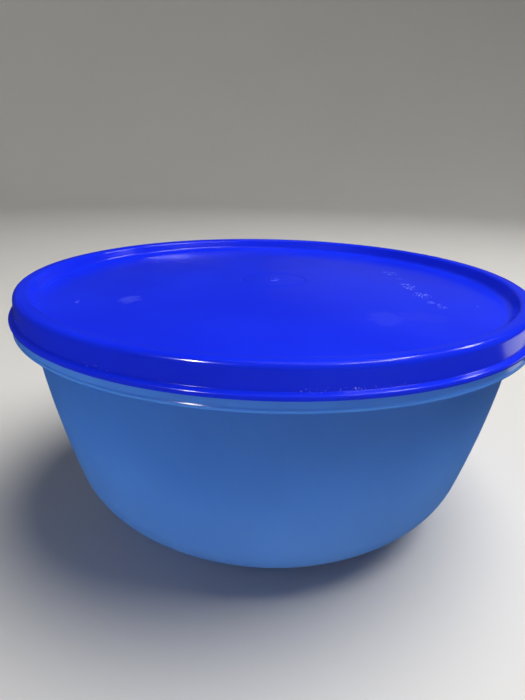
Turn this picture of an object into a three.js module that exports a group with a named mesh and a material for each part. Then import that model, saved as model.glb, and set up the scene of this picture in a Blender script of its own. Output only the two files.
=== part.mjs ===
// A round food bowl with a press-on lid.
//
// Two mouldings: a frosted plastic bowl, and a glossy flexible lid whose channel closes over the
// bowl's rim. Both are turned about the Z axis from a closed outline of (radius, height) points.
// Millimetres, +Z up. The origin is the centre of the flat ring that the bowl stands on.

import * as THREE from 'three';

// ---------------------------------------------------------------- driving dimensions

const lidRadius = 120; // over the bead at the foot of the skirt, the widest part of the object
const totalHeight = 117; // from the base to the top of the lid's rim
const seatHeight = 105.2; // the top of the bowl's flange, which the lid sits down on
const bowlWall = 2;
const lidWall = 1.4;
const gap = 0.3; // kept between the lid and the bowl
const turnSteps = 64; // flats around each turned piece, a multiple of 4

// Bowl
const flangeRadius = lidRadius - 1.1;
const flangeHeight = 4.2; // of the lip that hangs from the flange's edge
const wallTopRadius = 111.4; // the wall's outside, level with the lip's lower edge
const wallTopSlope = 82.7; // degrees above the horizontal
const wallArcs = [
  { radius: 424, toSlope: 73.3, steps: 5 }, // the side
  { radius: 37, toSlope: 43.8, steps: 5 }, // the shoulder where the side turns under
  { radius: 83, toSlope: 23.9, steps: 4 }, // the underside
];
const floorSlope = 28; // where the inside leaves the wall for the fillet around the floor
const baseRecess = 0.8; // the middle of the base stands this much off the ground
const footWidth = 5;
const rimBeadRadius = 1.4; // the round edge of the bowl, inside the lid's channel
const rimWebWidth = 2;

// Lid
const rimCornerRadius = 2.6;
const rimFlatWidth = 2.8;
const innerCornerRadius = 1.1;
const recessSlope = 63; // degrees above the horizontal, of the wall around the panel
const recessDepth = 5.7; // from the rim down to the panel's edge
const recessFillet = 2.2;
const panelRise = 3.9; // of the slightly domed panel, from its edge to its middle
const beadRadius = 1.3;
const beadFace = 0.85; // the straight face below the bead's round top
const nubRadius = 1.7;
const nubHeight = 0.4;

// ---------------------------------------------------------------- outline helpers

const radians = THREE.MathUtils.degToRad;
const sinOf = (degrees) => Math.sin(radians(degrees));
const cosOf = (degrees) => Math.cos(radians(degrees));
const at = (radius, height) => new THREE.Vector2(radius, height);

// Points on a circle about (radius, height), from one angle to another in degrees. 0 points away
// from the axis and 90 points up.
function arc(centre, size, fromAngle, toAngle, steps) {
  const points = [];
  for (let i = 0; i <= steps; i++) {
    const angle = fromAngle + ((toAngle - fromAngle) * i) / steps;
    points.push(at(centre.x + size * cosOf(angle), centre.y + size * sinOf(angle)));
  }
  return points;
}

// Points that carry on from start, down and inwards, as the slope of the wall falls.
function turnUnder(start, radius, fromSlope, toSlope, steps) {
  const centre = at(start.x - radius * sinOf(fromSlope), start.y + radius * cosOf(fromSlope));
  return arc(centre, radius, fromSlope - 90, toSlope - 90, steps).slice(1);
}

// A closed outline that starts and ends on the axis, turned about +Z.
function turned(outline) {
  const geometry = new THREE.LatheGeometry(outline, turnSteps);
  geometry.rotateX(Math.PI / 2);
  return geometry;
}

// ---------------------------------------------------------------- bowl

// The wall from the flange down, at a depth of inset below its outer surface, to the given slope.
function wallOutline(inset, lowestSlope) {
  let slope = wallTopSlope;
  const outline = [
    at(
      wallTopRadius - inset * sinOf(slope),
      seatHeight - flangeHeight + inset * cosOf(slope),
    ),
  ];
  for (const { radius, toSlope, steps } of wallArcs) {
    const endSlope = Math.max(toSlope, lowestSlope);
    outline.push(...turnUnder(outline.at(-1), radius - inset, slope, endSlope, steps));
    slope = endSlope;
  }
  return outline;
}

// The flange, its hanging lip and the rim that stands up from it, from below the flange outside
// to the top of the wall inside.
function flangeAndRim() {
  const lipBottom = seatHeight - flangeHeight;
  const flangeBottom = seatHeight - bowlWall;
  const lipInside = flangeRadius - bowlWall;
  const edgeRound = 0.7;
  const edge = flangeRadius - edgeRound;
  const wallOutside = wallTopRadius + (flangeBottom - lipBottom) / Math.tan(radians(wallTopSlope));
  const bead = at(113.6, totalHeight - 1.5 - gap - rimBeadRadius);
  const webOutside = bead.x + 0.45 * rimWebWidth;
  const webInside = webOutside - rimWebWidth;
  const outerJoin = THREE.MathUtils.radToDeg(Math.acos((webOutside - bead.x) / rimBeadRadius));
  const innerJoin = THREE.MathUtils.radToDeg(Math.acos((bead.x - webInside) / rimBeadRadius));
  return [
    at(wallOutside, flangeBottom),
    at(lipInside, flangeBottom),
    at(lipInside, lipBottom),
    ...arc(at(edge, lipBottom + edgeRound), edgeRound, -90, 0, 2),
    ...arc(at(edge, seatHeight - edgeRound), edgeRound, 0, 90, 2),
    at(webOutside, seatHeight),
    ...arc(bead, rimBeadRadius, -outerJoin, 180 + innerJoin, 8),
    at(webInside, seatHeight + 2.4),
    at(webInside - 2.7, seatHeight - 1.2),
  ];
}

function makeBowl() {
  const floorHeight = baseRecess + bowlWall;
  const outside = wallOutline(0, 0).reverse();
  const foot = outside[0];
  const footOutside = foot.x - 1.1;
  const footInside = footOutside - footWidth;
  const inside = wallOutline(bowlWall, floorSlope);
  const floorFillet = (inside.at(-1).y - floorHeight) / (1 - cosOf(floorSlope));
  const geometry = turned([
    at(0, baseRecess),
    at(footInside - baseRecess, baseRecess),
    at(footInside, 0),
    at(footOutside, 0),
    ...outside,
    ...flangeAndRim(),
    ...inside,
    ...turnUnder(inside.at(-1), floorFillet, floorSlope, 0, 3),
    at(0, floorHeight),
  ]);
  const plastic = new THREE.MeshStandardMaterial({
    color: 0x4a74b6,
    roughness: 0.42,
    metalness: 0,
  });
  return new THREE.Mesh(geometry, plastic);
}

// ---------------------------------------------------------------- lid

// The panel's surface from its middle to its edge, lowered by drop.
function panelOutline(edgeRadius, drop, fromRadius) {
  const steps = 5;
  const edgeHeight = totalHeight - recessDepth - drop;
  const points = [];
  for (let i = 0; i < steps; i++) {
    const radius = fromRadius + ((edgeRadius - fromRadius) * i) / steps;
    points.push(at(radius, edgeHeight + panelRise * (1 - (radius / edgeRadius) ** 2)));
  }
  return points;
}

function makeLid() {
  const rimThickness = 1.5;
  const skirtFoot = seatHeight + gap;
  const skirtDraft = 0.5;
  const wallTurn = 90 - recessSlope;

  const rimCorner = at(lidRadius - 5.2, totalHeight - rimCornerRadius);
  const innerCorner = at(rimCorner.x - rimFlatWidth, totalHeight - innerCornerRadius);
  const panelEdgeHeight = totalHeight - recessDepth;
  const filletHeight = panelEdgeHeight + recessFillet;

  // The recess wall runs straight between its top corner and the fillet at the panel's edge.
  const wallTop = arc(innerCorner, innerCornerRadius, 180 - wallTurn, 180 - wallTurn, 1)[0];
  const wallFootHeight = filletHeight - recessFillet * sinOf(wallTurn);
  const wallFootRadius = wallTop.x - (wallTop.y - wallFootHeight) / Math.tan(radians(recessSlope));
  const fillet = at(wallFootRadius - recessFillet * cosOf(wallTurn), filletHeight);

  // Below the panel the same wall is the plug that seats inside the bowl's rim.
  const plugCorner = arc(fillet, recessFillet + lidWall, -90, -wallTurn, 3);
  const channelTop = totalHeight - rimThickness;
  const plugTopRadius =
    plugCorner.at(-1).x + (channelTop - plugCorner.at(-1).y) / Math.tan(radians(recessSlope));

  const bead = at(lidRadius - beadRadius - 0.05, skirtFoot + 0.4 + beadFace);
  const skirtTop = at(rimCorner.x + rimCornerRadius, rimCorner.y);
  const skirtInside = skirtTop.x - rimThickness;

  const geometry = turned(
    [
      at(0, panelEdgeHeight + panelRise + nubHeight),
      at(nubRadius, panelEdgeHeight + panelRise + nubHeight),
      ...panelOutline(fillet.x, 0, nubRadius + nubHeight),
      ...arc(fillet, recessFillet, -90, -wallTurn, 3),
      ...arc(innerCorner, innerCornerRadius, 180 - wallTurn, 90, 2),
      ...arc(rimCorner, rimCornerRadius, 90, 0, 4),
      at(skirtTop.x + skirtDraft, bead.y + beadRadius + 0.5),
      ...arc(bead, beadRadius, 90, 0, 4),
      at(lidRadius, skirtFoot + 0.4),
      at(lidRadius - 0.4, skirtFoot),
      at(skirtInside + skirtDraft, skirtFoot),
      ...arc(rimCorner, rimCornerRadius - rimThickness, 0, 90, 2),
      at(plugTopRadius, channelTop),
      ...plugCorner.reverse(),
      ...panelOutline(fillet.x, lidWall, 0).reverse(),
    ].reverse(),
  );
  const plastic = new THREE.MeshStandardMaterial({
    color: 0x1428e4,
    roughness: 0.2,
    metalness: 0,
  });
  return new THREE.Mesh(geometry, plastic);
}

// ---------------------------------------------------------------- the object

const bowl = makeBowl();
bowl.name = 'bowl';

const lid = makeLid();
lid.name = 'lid';

const liddedBowl = new THREE.Group();
liddedBowl.add(bowl, lid);

export default liddedBowl;
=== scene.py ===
"""Looks for the lidded food bowl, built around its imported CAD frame.

Outlines are lists of corners in millimetres, (radius, height, rounding), turned about the Z axis.
"""

import math

import bpy
from mathutils import Matrix, Vector, noise


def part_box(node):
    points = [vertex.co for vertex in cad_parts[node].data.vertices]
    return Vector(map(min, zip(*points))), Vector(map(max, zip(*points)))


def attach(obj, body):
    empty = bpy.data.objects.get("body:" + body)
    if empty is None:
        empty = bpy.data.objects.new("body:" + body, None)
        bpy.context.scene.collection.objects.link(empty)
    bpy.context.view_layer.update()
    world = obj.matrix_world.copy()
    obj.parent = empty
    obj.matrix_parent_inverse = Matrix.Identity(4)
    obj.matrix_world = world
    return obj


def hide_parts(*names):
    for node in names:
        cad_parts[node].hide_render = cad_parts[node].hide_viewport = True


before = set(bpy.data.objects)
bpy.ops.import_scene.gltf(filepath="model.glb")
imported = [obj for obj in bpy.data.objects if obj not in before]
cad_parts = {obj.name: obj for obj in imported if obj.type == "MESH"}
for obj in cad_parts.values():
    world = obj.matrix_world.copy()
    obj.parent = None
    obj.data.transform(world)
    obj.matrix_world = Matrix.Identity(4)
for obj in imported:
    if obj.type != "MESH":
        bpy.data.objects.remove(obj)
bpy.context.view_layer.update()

MM = 0.001
TURN_STEPS = 192  # faces around a turned piece
ROUNDING_STEP = math.radians(9)  # the most that one step of a rounded corner turns

# ------------------------------------------------------------------ sizes, in millimetres

LID_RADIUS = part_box("lid")[1].x / MM
TOTAL_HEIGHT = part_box("lid")[1].z / MM
SKIRT_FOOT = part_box("lid")[0].z / MM
FLANGE_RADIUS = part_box("bowl")[1].x / MM
RIM_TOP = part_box("bowl")[1].z / MM
GAP = 0.3  # between the lid's skirt and the bowl's flange
SEAT = SKIRT_FOOT - GAP

BOWL_WALL = 2.0
LIP_HEIGHT = 4.2
WALL_TOP_RADIUS = 111.4
WALL_TOP_SLOPE = 82.7
# Radius of each arc, the slope in degrees that it ends at, going down, and its number of steps.
WALL_ARCS = ((424.0, 73.3, 16), (37.0, 43.8, 12), (83.0, 23.9, 10))
FLOOR_SLOPE = 28.0
BASE_RECESS = 0.8
FOOT_WIDTH = 5.0
FOOT_INSET = 1.1
RIM_RADIUS = 113.6
RIM_BEAD_RADIUS = 1.4
RIM_WEB_WIDTH = 2.0

LID_WALL = 1.4
LID_RIM_WALL = 1.5
RECESS_DEPTH = 5.7
PANEL_RISE = 3.9
PANEL_RADIUS = 107.1
RING_RADIUS = 15.3
RING_DEPTH = 0.18
NUB_HEIGHT = 0.4
GROOVE_HEIGHT = SKIRT_FOOT + 2.9  # where the skirt meets its bead

# ------------------------------------------------------------------ outlines


def sin_of(degrees):
    return math.sin(math.radians(degrees))


def cos_of(degrees):
    return math.cos(math.radians(degrees))


def arc(centre, size, start, end, steps):
    """Points on a circle in the outline's plane, by degrees: 0 is away from the axis and 90 up."""
    turn = (end - start) / steps
    angles = [start + turn * i for i in range(steps + 1)]
    return [(centre[0] + size * cos_of(a), centre[1] + size * sin_of(a)) for a in angles]


def turn_under(start, radius, from_slope, to_slope, steps):
    """Points that carry on from start, down and inwards, as the slope of the wall falls."""
    centre = (start[0] - radius * sin_of(from_slope), start[1] + radius * cos_of(from_slope))
    return arc(centre, radius, from_slope - 90, to_slope - 90, steps)[1:]


def bowl_wall(inset, lowest_slope):
    """The wall from the flange down, at a depth of inset below its outer surface."""
    slope = WALL_TOP_SLOPE
    top = SEAT - LIP_HEIGHT
    points = [(WALL_TOP_RADIUS - inset * sin_of(slope), top + inset * cos_of(slope))]
    for radius, to_slope, steps in WALL_ARCS:
        end = max(to_slope, lowest_slope)
        points += turn_under(points[-1], radius - inset, slope, end, steps)
        slope = end
    return points


def rounded(corners):
    """The outline through corners, each cut back to an arc of its own rounding where it has one."""
    points = []
    for i, corner in enumerate(corners):
        rounding = corner[2] if len(corner) > 2 else 0
        here = Vector(corner[:2])
        if rounding == 0 or i in (0, len(corners) - 1):
            points.append(here)
            continue
        back = Vector(corners[i - 1][:2]) - here
        ahead = Vector(corners[i + 1][:2]) - here
        bend = math.pi - back.angle(ahead)
        reach = min(rounding * math.tan(bend / 2), 0.48 * back.length, 0.48 * ahead.length)
        start = here + back.normalized() * reach
        end = here + ahead.normalized() * reach
        steps = max(2, math.ceil(bend / ROUNDING_STEP))
        middle = (start + end) / 2
        size = reach / math.tan(bend / 2)
        centre = here + (middle - here).normalized() * math.hypot(size, reach)
        for k in range(steps + 1):
            share = math.sin(bend * k / steps) / (
                math.sin(bend * k / steps) + math.sin(bend * (1 - k / steps))
            )
            chord = start.lerp(end, share) - centre
            points.append(centre + chord.normalized() * size)
    return points


def evened(points, longest=4.0, margin=0.25):
    """Adds points along straight stretches, close to each end so that the shading stays flat."""
    out = [points[0]]
    for start, end in zip(points, points[1:]):
        length = (end - start).length
        if length > 4 * margin:
            direction = (end - start) / length
            count = max(1, math.ceil((length - 2 * margin) / longest))
            pitch = (length - 2 * margin) / count
            out += [start + direction * (margin + pitch * k) for k in range(count + 1)]
        out.append(end)
    return out


# ------------------------------------------------------------------ meshes


def turned(name, outline, finishes=(), warp=None):
    """An object turned from an outline about Z.

    finishes holds (material, first outline point that it covers); warp moves a finished point.
    """
    verts, rings, faces, slots = [], [], [], []
    for radius, height in outline:
        count = 1 if radius < 1e-6 else TURN_STEPS
        rings.append((len(verts), count))
        for k in range(count):
            angle = math.tau * k / count
            verts.append(Vector((radius * math.cos(angle), radius * math.sin(angle), height)))
    starts = [first for _, first in finishes]
    for i, ((low, low_count), (high, high_count)) in enumerate(zip(rings, rings[1:])):
        finish = max(sum(first <= i for first in starts) - 1, 0)
        for k in range(TURN_STEPS):
            after = (k + 1) % TURN_STEPS
            face = [low + k % low_count, low + after % low_count]
            face += [high + after % high_count, high + k % high_count]
            faces.append(list(dict.fromkeys(face)))
            slots.append(finish)
    if warp:
        verts = [warp(v) for v in verts]
    mesh = bpy.data.meshes.new(name)
    mesh.from_pydata([v * MM for v in verts], [], faces)
    for material, _ in finishes:
        mesh.materials.append(material)
    mesh.polygons.foreach_set("material_index", slots)
    mesh.polygons.foreach_set("use_smooth", [True] * len(faces))
    mesh.update()
    piece = bpy.data.objects.new(name, mesh)
    bpy.context.scene.collection.objects.link(piece)
    return piece


# ------------------------------------------------------------------ node helpers


class Nodes:
    """A short way to write a material's node tree."""

    def __init__(self, tree):
        self.tree = tree

    def add(self, kind, settings=None, **inputs):
        node = self.tree.nodes.new("ShaderNode" + kind)
        for key, value in (settings or {}).items():
            setattr(node, key, value)
        for key, value in inputs.items():
            self.set(node.inputs[key.replace("_", " ")], value)
        return node

    def set(self, socket, value):
        if isinstance(value, bpy.types.NodeSocket):
            self.tree.links.new(value, socket)
        else:
            socket.default_value = value

    def math(self, operation, first, second=0.0):
        node = self.tree.nodes.new("ShaderNodeMath")
        node.operation = operation
        self.set(node.inputs[0], first)
        self.set(node.inputs[1], second)
        return node.outputs[0]

    def ramp(self, value, low, high, out_low=0.0, out_high=1.0):
        """value from low to high, as out_low to out_high, smoothly and no further."""
        node = self.add("MapRange", {"interpolation_type": "SMOOTHSTEP"})
        for key, number in (
            ("Value", value),
            ("From Min", low),
            ("From Max", high),
            ("To Min", out_low),
            ("To Max", out_high),
        ):
            self.set(node.inputs[key], number)
        return node.outputs["Result"]

    def mix(self, share, first, second):
        node = self.add("Mix", {"data_type": "RGBA"})
        self.set(node.inputs[0], share)
        self.set(node.inputs[6], first)
        self.set(node.inputs[7], second)
        return node.outputs[2]

    def noise(self, place, scale, detail=2.0, roughness=0.5):
        node = self.add("TexNoise", Vector=place, Scale=scale, Detail=detail)
        node.inputs["Roughness"].default_value = roughness
        return node.outputs["Fac"]

    def height(self, place):
        return self.add("SeparateXYZ", Vector=place).outputs["Z"]

    def length(self, vector):
        return self.add("VectorMath", {"operation": "LENGTH"}, Vector=vector).outputs["Value"]

    def placed(self, place, move=(0, 0, 0), turn=(0, 0, 0), size=(1, 1, 1)):
        """Coordinates about a spot: moved there, turned and scaled."""
        node = self.add("Mapping", {"vector_type": "TEXTURE"}, Vector=place)
        node.inputs["Location"].default_value = move
        node.inputs["Rotation"].default_value = turn
        node.inputs["Scale"].default_value = size
        return node.outputs["Vector"]

    def hairlines(self, place, angle, across, along, threshold):
        """Fine straight scratches at an angle in degrees: 1 on a scratch and 0 elsewhere."""
        heading = (0, 0, math.radians(angle))
        laid = self.placed(place, turn=heading, size=(along, across, along))
        return self.ramp(self.noise(laid, 1.0, 1.0), threshold, threshold + 0.03)


def plastic(name, colour, finish):
    """A Principled material, which the functions colour and finish fill in with nodes."""
    material = bpy.data.materials.new(name)
    material.use_nodes = True
    tree = material.node_tree
    tree.nodes.clear()
    nodes = Nodes(tree)
    place = nodes.add("TexCoord").outputs["Object"]
    shader = nodes.add("BsdfPrincipled")
    nodes.set(shader.inputs["Base Color"], colour(nodes, place))
    finish(nodes, place, shader)
    output = nodes.add("OutputMaterial")
    tree.links.new(shader.outputs[0], output.inputs["Surface"])
    return material


def bump(nodes, height, strength, distance):
    node = nodes.add("Bump", Height=height, Strength=strength, Distance=distance * MM)
    return node.outputs["Normal"]


# ------------------------------------------------------------------ materials

# Worn marks on the lid's panel, in millimetres: centre, half sizes across and deep, and strength.
PANEL_SCRATCHES = (
    ((63, 31), (4.5, 8.0), 0.35),
    ((66, 16), (2.5, 4.0), 0.35),
    ((65.5, 0), (3.6, 7.5), 0.85),
    ((68, -18), (4.2, 6.0), 0.90),
    ((69.5, -28), (2.0, 2.6), 0.70),
    ((73, -33), (2.0, 4.5), 0.90),
    ((0.6, 0), (2.6, 4.0), 0.50),
    ((90, -30), (1.0, 2.2), 0.50),
    ((-83, -40), (0.9, 2.6), 0.90),
)
PANEL_SMEARS = (
    ((-61, -38), (5.5, 6.0), 0.15),
    ((45, -57), (8.0, 10.0), 0.06),
    ((60, -52), (12.0, 7.0), 0.035),
)


def scuffs(nodes, place):
    """Where the lid's panel is worn, from 0 to 1."""
    scratched = nodes.math(
        "MAXIMUM",
        nodes.hairlines(place, 66, 0.0005, 0.005, 0.60),
        nodes.hairlines(place, 18, 0.0005, 0.004, 0.62),
    )
    smeared = nodes.ramp(nodes.noise(place, 420.0, 3.0, 0.7), 0.38, 0.60, 0.80, 1.0)
    ragged = nodes.math("SUBTRACT", nodes.noise(place, 330.0, 2.0), 0.5)
    ragged = nodes.math("MULTIPLY", ragged, 1.4)
    worn = 0.0
    for pattern, marks in ((scratched, PANEL_SCRATCHES), (smeared, PANEL_SMEARS)):
        for (x, y), (across, deep), strength in marks:
            spot = nodes.placed(
                place,
                move=(x * MM, y * MM, TOTAL_HEIGHT * MM),
                size=(across * MM, deep * MM, 12 * MM),
            )
            distance = nodes.math("ADD", nodes.length(spot), ragged)
            mark = nodes.ramp(distance, 1.05, 0.75, 0.0, strength)
            worn = nodes.math("MAXIMUM", worn, nodes.math("MULTIPLY", mark, pattern))
    return worn


def groove_dust(nodes, place):
    """Specks of dust caught here and there where the skirt meets its bead."""
    above_groove = nodes.math("SUBTRACT", nodes.height(place), GROOVE_HEIGHT * MM)
    groove = nodes.ramp(nodes.math("ABSOLUTE", above_groove), 0.9 * MM, 0.3 * MM)
    specks = nodes.ramp(nodes.noise(place, 1700.0, 1.0), 0.67, 0.71)
    patches = nodes.ramp(nodes.noise(place, 24.0, 1.0), 0.48, 0.60)
    return nodes.math("MULTIPLY", groove, nodes.math("MULTIPLY", specks, patches))


def lid_colour(nodes, place):
    clouds = nodes.noise(place, 9.0, 3.0)
    deep = (0.0045, 0.0200, 0.74, 1.0)
    light = (0.0070, 0.0290, 0.86, 1.0)
    body = nodes.mix(nodes.ramp(clouds, 0.3, 0.7), deep, light)
    worn = nodes.math("MULTIPLY", scuffs(nodes, place), 0.55)
    body = nodes.mix(worn, body, (0.30, 0.38, 1.0, 1.0))
    dust = nodes.math("MULTIPLY", groove_dust(nodes, place), 0.6)
    return nodes.mix(dust, body, (0.55, 0.60, 0.75, 1.0))


def lid_finish(nodes, place, shader):
    """Glossy, with a satin panel and hairline scratches on the top of the lid."""
    on_top = nodes.ramp(nodes.height(place), (TOTAL_HEIGHT - 7) * MM, (TOTAL_HEIGHT - 6) * MM)
    lines = 0.0
    for angle in (24, -38, 71):
        scratches = nodes.hairlines(place, angle, 0.0004, 0.05, 0.70)
        lines = nodes.math("MAXIMUM", lines, scratches)
    lines = nodes.math("MULTIPLY", lines, on_top)
    worn = scuffs(nodes, place)
    radius = nodes.length(nodes.placed(place, size=(1, 1, 1000)))
    satin = nodes.ramp(radius, PANEL_RADIUS * MM, (PANEL_RADIUS - 2) * MM, 0.0, 0.07)
    rough = nodes.ramp(nodes.noise(place, 30.0, 3.0), 0.25, 0.75, 0.115, 0.165)
    rough = nodes.math("ADD", rough, satin)
    rough = nodes.math("ADD", rough, nodes.math("MULTIPLY", lines, 0.03))
    rough = nodes.math("ADD", rough, nodes.math("MULTIPLY", worn, 0.35))
    nodes.set(shader.inputs["Roughness"], rough)
    peel = nodes.math("MULTIPLY", nodes.noise(place, 220.0, 2.0), 0.5)
    relief = nodes.math("ADD", peel, nodes.math("MULTIPLY", lines, -0.05))
    nodes.set(shader.inputs["Normal"], bump(nodes, relief, 0.12, 0.05))
    shader.inputs["IOR"].default_value = 1.5
    shader.inputs["Specular IOR Level"].default_value = 0.45
    shader.inputs["Subsurface Weight"].default_value = 0.10
    shader.inputs["Subsurface Radius"].default_value = (0.3, 0.5, 1.0)
    shader.inputs["Subsurface Scale"].default_value = 1.2 * MM


def frosted_colour(lightness, painted_shade):
    """The bowl's blue, lighter by lightness, with painted light making it paler towards the base and
    painted shade making it deeper by painted_shade up the wall.
    """

    def colour(nodes, place):
        clouds = nodes.noise(nodes.placed(place, size=(1, 1, 1.6)), 16.0, 3.0)
        deep = (0.051, 0.195, 0.66, 1.0)
        light = (0.065, 0.240, 0.78, 1.0)
        body = nodes.mix(nodes.ramp(clouds, 0.3, 0.7), deep, light)
        flecks = nodes.ramp(nodes.noise(place, 700.0, 2.0), 0.70, 0.78, 0.0, 0.12)
        flecked = nodes.mix(flecks, body, (0.20, 0.36, 0.72, 1.0))
        height = nodes.height(place)
        # Painted light: lower down, the blue is mixed towards a pale blue. This stands in for light
        # bounced up from the floor and through the base, on the outside wall and the inside floor.
        lift = nodes.ramp(height, 80 * MM, 10 * MM, lightness, lightness + 0.24)
        with_painted_underlight = nodes.mix(lift, flecked, (0.24, 0.47, 0.98, 1.0))
        # Painted shade: higher up the wall, the blue is mixed towards a deep navy. This stands in for
        # the shade under the flange and the closed lid.
        painted_shade_share = nodes.ramp(height, 50 * MM, 102 * MM, 0.0, painted_shade)
        return nodes.mix(painted_shade_share, with_painted_underlight, (0.024, 0.12, 0.44, 1.0))

    return colour


def frosted_finish(roughness, grain):
    """The finish of the bowl's plastic, by its roughness and the strength of its frost grain."""

    def finish(nodes, place, shader):
        patches = nodes.noise(place, 38.0, 4.0)
        wear = nodes.ramp(nodes.height(place), 14 * MM, 0.0, 0.0, 0.10)
        rough = nodes.ramp(patches, 0.25, 0.75, roughness - 0.04, roughness + 0.05)
        rough = nodes.math("ADD", rough, wear)
        nodes.set(shader.inputs["Roughness"], rough)
        frost = nodes.noise(place, 1500.0, 2.0, 0.6)
        swell = nodes.noise(place, 45.0, 1.0)
        relief = nodes.math("ADD", nodes.math("MULTIPLY", frost, grain), swell)
        nodes.set(shader.inputs["Normal"], bump(nodes, relief, 0.2, 0.05))
        shader.inputs["IOR"].default_value = 1.49
        shader.inputs["Specular IOR Level"].default_value = 0.40
        shader.inputs["Subsurface Weight"].default_value = 0.45
        shader.inputs["Subsurface Radius"].default_value = (0.35, 0.6, 1.0)
        shader.inputs["Subsurface Scale"].default_value = 5 * MM

    return finish


LID_PLASTIC = plastic("lid_plastic", lid_colour, lid_finish)
# The outside wall takes painted shade of 0.7 up towards the flange. The outside wall and the inside
# also take painted light towards the base.
BOWL_FROSTED = plastic("bowl_frosted", frosted_colour(0.0, 0.7), frosted_finish(0.42, 0.5))
BOWL_SMOOTH = plastic("bowl_smooth", frosted_colour(0.12, 0.0), frosted_finish(0.10, 0.04))
BOWL_INSIDE = plastic("bowl_inside", frosted_colour(0.0, 0.0), frosted_finish(0.30, 0.2))

# ------------------------------------------------------------------ bowl


def base_corners(foot_radius):
    """The recessed base with its moulding gate and ring, and the foot around it."""
    outside = foot_radius - FOOT_INSET
    inside = outside - FOOT_WIDTH
    gate_height = 0.35
    return [
        (0, gate_height),
        (1.5, gate_height, 0.2),
        (2.1, BASE_RECESS, 0.4),
        (13.6, BASE_RECESS, 0.3),
        (14.0, BASE_RECESS - 0.2, 0.2),
        (15.2, BASE_RECESS - 0.2, 0.2),
        (15.6, BASE_RECESS, 0.3),
        (inside - BASE_RECESS, BASE_RECESS, 0.8),
        (inside, 0, 0.5),
        (outside, 0, 0.9),
    ]


def flange_corners():
    """The flange's underside, its hanging lip, and its edge, which steps in above the lip's foot."""
    bottom = SEAT - LIP_HEIGHT
    inside = FLANGE_RADIUS - BOWL_WALL
    return [
        (WALL_TOP_RADIUS + 0.25, SEAT - BOWL_WALL, 0.7),
        (inside, SEAT - BOWL_WALL, 0.7),
        (inside, bottom, 0.4),
        (FLANGE_RADIUS - 0.05, bottom, 0.5),
        (FLANGE_RADIUS, bottom + 1.1, 0.9),
        (FLANGE_RADIUS - 0.35, bottom + 1.5, 0.35),
        (FLANGE_RADIUS - 0.6, SEAT, 0.35),
    ]


def rim_points():
    """The round-edged rim that stands up from the flange inside the lid."""
    centre = (RIM_RADIUS, RIM_TOP - RIM_BEAD_RADIUS)
    web_outside = RIM_RADIUS + 0.45 * RIM_WEB_WIDTH
    web_inside = web_outside - RIM_WEB_WIDTH
    outer_join = math.degrees(math.acos((web_outside - RIM_RADIUS) / RIM_BEAD_RADIUS))
    inner_join = math.degrees(math.acos((RIM_RADIUS - web_inside) / RIM_BEAD_RADIUS))
    bead = arc(centre, RIM_BEAD_RADIUS, -outer_join, 180 + inner_join, 28)
    jog = [(web_inside, SEAT + 2.4, 2.0), (web_inside - 2.7, SEAT - 1.2, 4.0)]
    return [(web_outside, SEAT, 0.7), *bead, *jog]


def make_bowl():
    """Turned from the middle of the base, up the outside to the rim and back down the inside."""
    outside = bowl_wall(0, 0)[::-1]
    inside = bowl_wall(BOWL_WALL, FLOOR_SLOPE)
    floor = BASE_RECESS + BOWL_WALL
    fillet = (inside[-1][1] - floor) / (1 - cos_of(FLOOR_SLOPE))
    base = evened(rounded(base_corners(outside[0][0]) + [(*outside[0], 0.5), outside[1]]))[:-1]
    wall = evened([Vector(p) for p in outside[1:]], 6.0)
    flange = evened(rounded([outside[-1], *flange_corners(), *rim_points(), inside[0]]))[1:-1]
    floor_arc = turn_under(inside[-1], fillet, FLOOR_SLOPE, 0, 8)
    within = evened([Vector(p) for p in [*inside, *floor_arc, (0, floor)]], 6.0)
    lip_start = len(base) + len(wall)
    inside_start = lip_start + len(flange)
    return turned(
        "bowl_body",
        base + wall + flange + within,
        [
            (BOWL_FROSTED, 0),
            (BOWL_SMOOTH, lip_start),
            (BOWL_INSIDE, inside_start),
        ],
    )


# ------------------------------------------------------------------ lid


def panel_height(radius):
    """The domed panel, with the faint moulded ring about its middle."""
    dome = TOTAL_HEIGHT - RECESS_DEPTH + PANEL_RISE * (1 - (radius / PANEL_RADIUS) ** 2)
    ring = RING_DEPTH * math.exp(-(((radius - RING_RADIUS) / 0.8) ** 2))
    return dome - ring


def panel_points(drop, first):
    """The panel from radius first to its edge, closer together about the ring."""
    radii = [first]
    while radii[-1] < PANEL_RADIUS - 6.5:
        near_ring = abs(radii[-1] - RING_RADIUS) < 2.2
        radii.append(radii[-1] + (0.25 if near_ring else 2.0))
    return [(r, panel_height(r) - drop) for r in radii]


def lid_warp(point):
    """Slight unevenness of a thin moulding: up to 0.2 mm on the panel and none at the rim."""
    radius = math.hypot(point.x, point.y)
    panel = 1.0 - min(max((radius - 96) / 12, 0.0), 1.0)
    swell = noise.noise(Vector((point.x, point.y, 0)) * 0.022)
    ripple = noise.noise(Vector((point.x, point.y, 40)) * 0.06)
    lift = panel * (0.16 * swell + 0.05 * ripple)
    return point + Vector((0, 0, lift))


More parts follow.
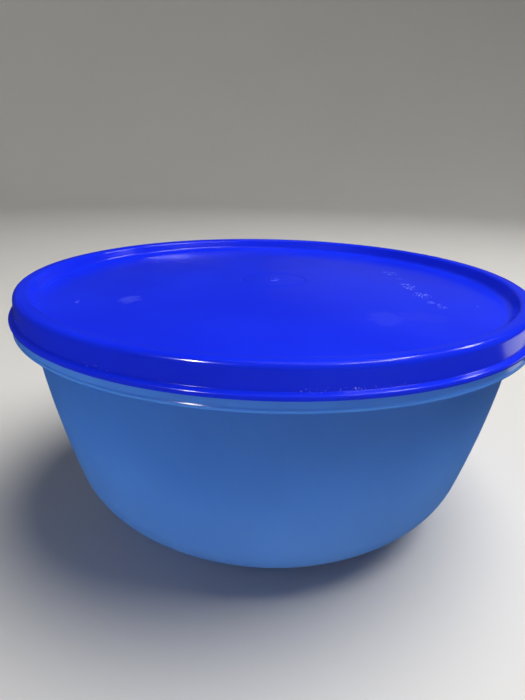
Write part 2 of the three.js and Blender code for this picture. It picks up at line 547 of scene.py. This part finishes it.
def make_lid():
    """Turned from the middle of the underside, out to the skirt and back over the top."""
    panel_edge = TOTAL_HEIGHT - RECESS_DEPTH
    channel_top = TOTAL_HEIGHT - LID_RIM_WALL
    middle = panel_height(0)
    top = [
        (0, middle + NUB_HEIGHT),
        (1.5, middle + NUB_HEIGHT, 0.25),
        (1.9, middle, 0.35),
        *panel_points(0, 2.6),
        (PANEL_RADIUS + 1.1, panel_edge - 0.02, 3.2),
        (PANEL_RADIUS + 4.25, TOTAL_HEIGHT, 2.0),
        (LID_RADIUS - 2.6, TOTAL_HEIGHT, 2.6),
        (LID_RADIUS - 2.12, SKIRT_FOOT + 2.4, 0.25),
        (LID_RADIUS - 0.25, SKIRT_FOOT + 1.8, 0.9),
        (LID_RADIUS, SKIRT_FOOT + 1.0, 0.5),
        (LID_RADIUS - 0.35, SKIRT_FOOT, 0.3),
    ]
    under = [
        (LID_RADIUS - 3.6, SKIRT_FOOT, 0.4),
        (LID_RADIUS - 4.1, channel_top, 1.1),
        (PANEL_RADIUS + 5.0, channel_top, 0.6),
        (PANEL_RADIUS + 2.2, panel_edge - LID_WALL, 3.4),
        *panel_points(LID_WALL, 0)[::-1],
    ]
    outline = evened(rounded((top + under)[::-1]), 6.0)
    return turned("lid_body", outline, [(LID_PLASTIC, 0)], lid_warp)


# ------------------------------------------------------------------ the object

bowl = make_bowl()
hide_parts("bowl")
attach(bowl, "bowl")

lid = make_lid()
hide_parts("lid")
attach(lid, "lid")

# ------------------------------------------------------------------ floor, light and camera


def make_studio():
    """A pale floor that curves up into a round backdrop and doesn't show in reflections."""

    def colour(nodes, place):
        clouds = nodes.noise(place, 3.0)
        return nodes.mix(clouds, (0.62, 0.615, 0.60, 1.0), (0.65, 0.645, 0.63, 1.0))

    def finish(nodes, place, shader):
        shader.inputs["Roughness"].default_value = 0.75

    flat, bend, height = 1500, 900, 3200
    curve = arc((flat, bend), bend, -90, 0, 12)
    outline = [Vector(c) for c in [(0, 0), *curve, (flat + bend, height)]]
    floor = turned("studio_floor", outline, [(plastic("studio", colour, finish), 0)])
    floor.data.flip_normals()
    floor.visible_glossy = False


def make_light(name, aim, distance, size, power, colour, glossy):
    """A soft light aimed at the bowl from aim, (azimuth, elevation), with size (width, height).

    Azimuth 0 is in front and 90 towards +X. A glossy light only shows in reflections, and any
    other light only lights surfaces.
    """
    data = bpy.data.lights.new(name, "AREA")
    data.shape = "ELLIPSE"
    data.size, data.size_y = size
    data.energy = power
    data.color = colour
    light = bpy.data.objects.new(name, data)
    bpy.context.scene.collection.objects.link(light)
    azimuth, elevation = aim
    level = distance * cos_of(elevation)
    rise = distance * sin_of(elevation)
    target = Vector((0, 0, 0.08))
    place = target + Vector((level * sin_of(azimuth), -level * cos_of(azimuth), rise))
    light.location = place
    light.rotation_euler = (target - place).to_track_quat("-Z", "Y").to_euler()
    light.visible_camera = False
    light.visible_glossy = glossy
    light.visible_diffuse = not glossy


def make_world():
    world = bpy.data.worlds.new("studio_air")
    world.use_nodes = True
    background = world.node_tree.nodes["Background"]
    background.inputs["Color"].default_value = (0.80, 0.84, 0.92, 1.0)
    background.inputs["Strength"].default_value = 0.035
    bpy.context.scene.world = world


def make_camera():
    """The photograph's view, from 271 mm in front of the axis and 176 mm up, with a 29 mm lens."""
    data = bpy.data.cameras.new("camera")
    data.lens = 29.1
    data.clip_start = 0.01
    camera = bpy.data.objects.new("camera", data)
    bpy.context.scene.collection.objects.link(camera)
    yaw, pitch, roll = (math.radians(a) for a in (-0.95, 19.82, 1.30))
    level = math.cos(pitch)
    ahead = Vector((math.sin(yaw) * level, math.cos(yaw) * level, -math.sin(pitch)))
    right = ahead.cross(Vector((0, 0, 1))).normalized()
    up = right.cross(ahead)
    rolled_right = right * math.cos(roll) + up * math.sin(roll)
    rolled_up = up * math.cos(roll) - right * math.sin(roll)
    turn = Matrix((rolled_right, rolled_up, -ahead)).transposed()
    camera.matrix_world = Matrix.Translation((0, -0.2714, 0.1763)) @ turn.to_4x4()
    bpy.context.scene.camera = camera


make_studio()
make_light("key", (90, 69), 1.4, (1.3, 1.3), 31, (1.0, 0.98, 0.95), False)
make_light("left_fill", (-42, -1), 1.2, (1.1, 0.12), 4.0, (0.90, 0.95, 1.0), False)
make_light("overhead", (0, 86), 1.2, (0.6, 0.6), 0.13, (1.0, 1.0, 1.0), True)
make_light("left_lamp", (-33, 38), 1.1, (0.09, 0.07), 6.5, (1.0, 1.0, 1.0), True)
make_light("front_strip", (52, 58), 1.2, (0.3, 0.05), 0.8, (1.0, 0.98, 0.96), True)
make_light("side_strip", (90, 58), 1.2, (0.6, 0.06), 2.2, (1.0, 0.98, 0.96), True)
make_light("right_strip", (117, 41), 1.2, (0.40, 0.12), 1.3, (1.0, 0.98, 0.96), True)
make_light("back_card", (158, 14), 1.2, (1.0, 0.45), 0.05, (0.95, 0.97, 1.0), True)
make_light("low_card", (104, -5), 0.43, (0.20, 0.10), 0.05, (1.0, 1.0, 1.0), True)
make_world()
make_camera()
bpy.context.scene.view_settings.view_transform = "Standard"
